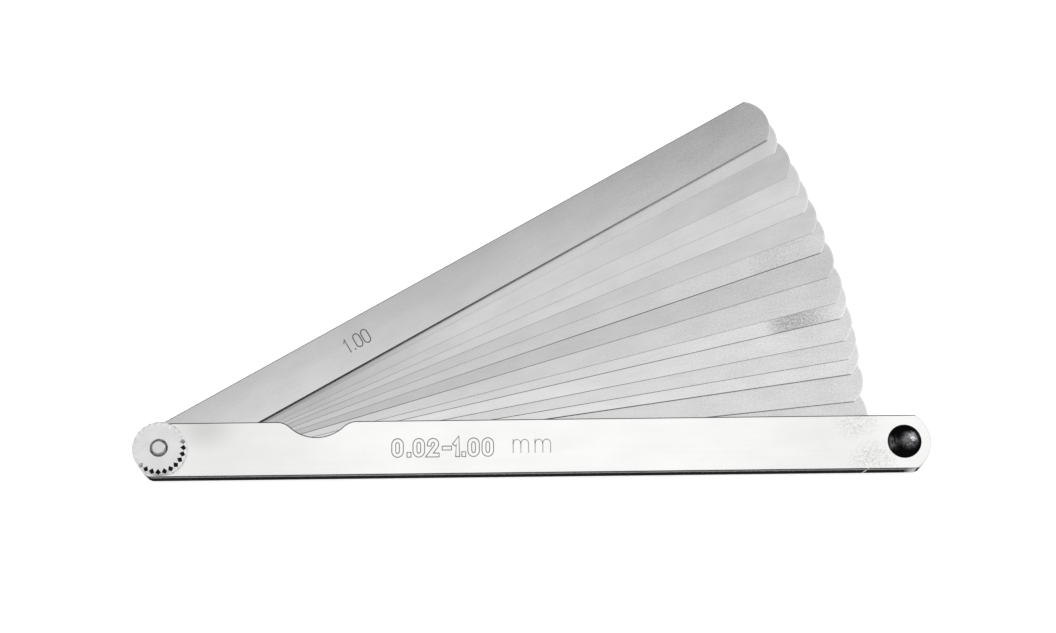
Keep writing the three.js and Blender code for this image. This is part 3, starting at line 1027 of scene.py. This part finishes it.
def make_rivet(material):
    """A low rear head, a shank and a domed front head."""
    bm = bmesh.new()
    rim = 0.3 * MM
    rear_flat = 2.6 * MM
    steps = 24
    dome_height = rivet_high.z - FRONT_Z - rim
    dome_radius = (RIVET_HEAD_RADIUS ** 2 + dome_height ** 2) / (2 * dome_height)
    profile = head_profile(RIVET_HEAD_RADIUS, rear_flat, REAR_Z) + [
        (RIVET_RADIUS, REAR_Z),
        (RIVET_RADIUS, FRONT_Z),
        (RIVET_HEAD_RADIUS - HEAD_EDGE, FRONT_Z),
        (RIVET_HEAD_RADIUS, FRONT_Z + HEAD_EDGE),
        (RIVET_HEAD_RADIUS, FRONT_Z + rim - HEAD_EDGE),
    ]
    for i in range(steps, -1, -1):
        radius = (RIVET_HEAD_RADIUS - HEAD_EDGE) * i / steps
        drop = dome_radius - math.sqrt(dome_radius ** 2 - radius ** 2)
        profile.append((radius, rivet_high.z - drop))
    lathe(bm, profile, RIVET_X)
    finish_piece("rivet", bm, "case", [material], ["end_rivet"], smooth=40)


def make_sleeve(material):
    """A plain tube on the rivet, between the two plates."""
    bm = bmesh.new()
    outside = sleeve_high.y
    bore = RIVET_RADIUS + HOLE_CLEARANCE
    edge = 0.15 * MM
    lathe(bm, [
        (bore, FLOOR_Z),
        (outside - edge, FLOOR_Z),
        (outside, FLOOR_Z + edge),
        (outside, ROOF_Z - edge),
        (outside - edge, ROOF_Z),
        (bore, ROOF_Z),
        (bore, FLOOR_Z),
    ], RIVET_X)
    finish_piece("sleeve", bm, "case", [material], ["spacer_sleeve"])


# ----------------------------------------------------------------------------- build

# Leaves thinner than this are less mottled than the others.
FOIL_THICKNESS = 0.065 * MM
FOIL_MOTTLE = 0.05
LEAF_MOTTLE = 0.13


def build_case():
    plate = nickel("nickel_plate")
    make_case([plate, dull_edge("plate_edge"), ground_end("plate_end")])
    make_range_stamp(plate, stamped_groove_shade("stamped_groove_shade", 0.2), stamped_groove_shade("stamped_fine_groove_shade", 0.36))


def build_leaves():
    """Every leaf that a joint moves, as far out of the case at rest as its joint can fold it back."""
    edge = sheared_edge("leaf_edge")
    etch = etched_mark("etched_number")
    bodies = frame["record"]["behaviour"]["bodies"]
    leaves = [joint for joint in frame["joints"] if joint["child"].startswith("blade_")]
    for seed, joint in enumerate(leaves):
        body = joint["child"]
        node = bodies[body][0]
        label = body[len("blade_"):]
        low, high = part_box(node)
        turn = math.radians(-joint["range_deg"][0])
        mottle = FOIL_MOTTLE if high.z - low.z < FOIL_THICKNESS else LEAF_MOTTLE
        steel = leaf_steel("leaf_steel_" + label, LEAF_LOOKS[label], seed, turn, mottle)
        make_leaf(label, body, node, low.z, high.z, turn, [steel, edge])
        make_leaf_mark(label, body, high.z, turn, etch)


def build_fasteners():
    make_screw([turned_steel("screw_steel", tone=0.66), dark_oil("oiled_thread", 0.2, 0.5)])
    make_nut([
        turned_steel("nut_steel", tone=0.73),
        # The notches in painted shade on one side and painted light on the other.
        notch_painted_shade("painted_notch_shade"),
        dark_oil("oiled_mouth", 0.55, 0.85),
        # The rim in a paler, half matt copy of the nut's steel: painted light.
        turned_steel("nut_rim_painted_light", tone=0.93, metallic=0.5),
    ])
    make_rivet(black_oxide("rivet_black"))
    make_sleeve(turned_steel("sleeve_steel", tone=0.6, x=RIVET_X))


# ----------------------------------------------------------------- floor, light, camera

STAGE_RADIUS = 3.0
STAGE_Z = -0.02 * MM


def stage_piece(name, bm, grey, glow):
    """A matt piece of the stage that gives off light; metal doesn't mirror it."""
    mesh = bpy.data.meshes.new(name)
    bm.to_mesh(mesh)
    bm.free()
    material = bpy.data.materials.new("pale_" + name)
    material.use_nodes = True
    shader = material.node_tree.nodes["Principled BSDF"]
    shader.inputs["Base Color"].default_value = (grey, grey, grey, 1)
    shader.inputs["Roughness"].default_value = 0.9
    shader.inputs["Specular IOR Level"].default_value = 0.0
    shader.inputs["Emission Color"].default_value = (1, 1, 1, 1)
    shader.inputs["Emission Strength"].default_value = glow
    mesh.materials.append(material)
    piece = bpy.data.objects.new(name, mesh)
    piece.visible_glossy = False
    bpy.context.scene.collection.objects.link(piece)
    return piece


def make_floor():
    """A pale floor just under the gauge."""
    bm = bmesh.new()
    bm.faces.new(add_ring(bm, circle(STAGE_RADIUS, STAGE_Z, 96)))
    stage_piece("floor", bm, grey=0.9, glow=0.55)


def make_backdrop():
    """A white surround that only the camera sees."""
    bm = bmesh.new()
    bmesh.ops.create_uvsphere(bm, u_segments=48, v_segments=24, radius=STAGE_RADIUS)
    backdrop = stage_piece("backdrop", bm, grey=0.0, glow=1.0)
    backdrop.visible_diffuse = False
    backdrop.visible_transmission = False
    backdrop.visible_volume_scatter = False
    backdrop.visible_shadow = False


# Brightness of the sky against the height of its direction, on each side of the gauge.
SKY_BEHIND = ((-1.0, 0.015), (-0.1, 0.03), (0.0, 0.15), (0.14, 0.5), (0.5, 0.8), (0.8, 1.0))
SKY_AHEAD = ((-1.0, 0.01), (-0.25, 0.02), (0.0, 0.18), (0.3, 0.5), (0.62, 0.85), (0.8, 1.0))
SKY_SIDES = ((-1.0, 0.04), (-0.5, 0.1), (-0.3, 0.7), (0.5, 0.85), (0.8, 1.0))


def make_sky():
    """A white tent overhead and at both sides, over a dark bench and a dark room in front."""
    world = bpy.data.worlds.new("light_tent")
    bpy.context.scene.world = world
    world.use_nodes = True
    tree = world.node_tree
    background = tree.nodes["Background"]
    direction = tree.nodes.new("ShaderNodeSeparateXYZ")
    tree.links.new(tree.nodes.new("ShaderNodeTexCoord").outputs["Generated"], direction.inputs[0])

    def blend_zone(value, low, high):
        """A share of nothing at low, growing to one at high."""
        zone = tree.nodes.new("ShaderNodeMapRange")
        zone.inputs["From Min"].default_value = low
        zone.inputs["From Max"].default_value = high
        tree.links.new(value, zone.inputs["Value"])
        return zone.outputs["Result"]

    def ramp(stops):
        node = tree.nodes.new("ShaderNodeValToRGB")
        elements = node.color_ramp.elements
        while len(elements) < len(stops):
            elements.new(0.5)
        for element, (z, grey) in zip(elements, stops):
            element.position = (z + 1) / 2
            element.color = (grey, grey, grey, 1)
        tree.links.new(blend_zone(direction.outputs["Z"], -1.0, 1.0), node.inputs["Fac"])
        return node.outputs["Color"]

    def mix(factor, first, second):
        node = tree.nodes.new("ShaderNodeMix")
        node.data_type = "RGBA"
        tree.links.new(factor, node.inputs["Factor"])
        colour_a, colour_b, colour_result = 6, 7, 2
        tree.links.new(first, node.inputs[colour_a])
        tree.links.new(second, node.inputs[colour_b])
        return node.outputs[colour_result]

    sideways = tree.nodes.new("ShaderNodeMath")
    sideways.operation = "ABSOLUTE"
    tree.links.new(direction.outputs["X"], sideways.inputs[0])
    ahead = blend_zone(direction.outputs["Y"], -0.3, -0.6)
    to_the_side = blend_zone(sideways.outputs[0], 0.45, 0.75)
    middle = mix(ahead, ramp(SKY_BEHIND), ramp(SKY_AHEAD))
    sky = mix(to_the_side, middle, ramp(SKY_SIDES))
    tree.links.new(sky, background.inputs["Color"])
    background.inputs["Strength"].default_value = 1.0


def softbox(name, direction, distance, size, radiance):
    """A square light that shines on the gauge's middle with a given brightness of its face."""
    light = bpy.data.lights.new(name, "AREA")
    light.shape = "SQUARE"
    light.size = size
    light.energy = radiance * math.pi * size * size
    lamp = bpy.data.objects.new(name, light)
    aim = Vector((RIVET_X / 2, 0, 0))
    towards = Vector(direction).normalized()
    lamp.location = aim + towards * distance
    lamp.rotation_mode = "QUATERNION"
    lamp.rotation_quaternion = towards.to_track_quat("Z", "Y")
    bpy.context.scene.collection.objects.link(lamp)


def make_camera():
    """A long lens, well above the gauge and tilted a little from straight down."""
    data = bpy.data.cameras.new("camera")
    camera = bpy.data.objects.new("camera", data)
    data.sensor_width = 36.0
    data.lens = 85.42
    place = Vector((95.87 * MM, -152.73 * MM, FRONT_Z + 664.96 * MM))
    tilt = Matrix.Rotation(math.radians(15.885), 4, "X")
    swing = Matrix.Rotation(math.radians(-0.395), 4, "Y")
    roll = Matrix.Rotation(math.radians(-0.753), 4, "Z")
    camera.matrix_world = Matrix.Translation(place) @ swing @ tilt @ roll
    bpy.context.scene.collection.objects.link(camera)
    bpy.context.scene.camera = camera


bpy.context.scene.view_settings.view_transform = "Standard"
build_case()
build_leaves()
build_fasteners()
make_floor()
make_backdrop()
make_sky()
softbox("side_softbox", direction=(0.62, 0.40, 0.67), distance=1.2, size=0.28, radiance=9.0)
make_camera()
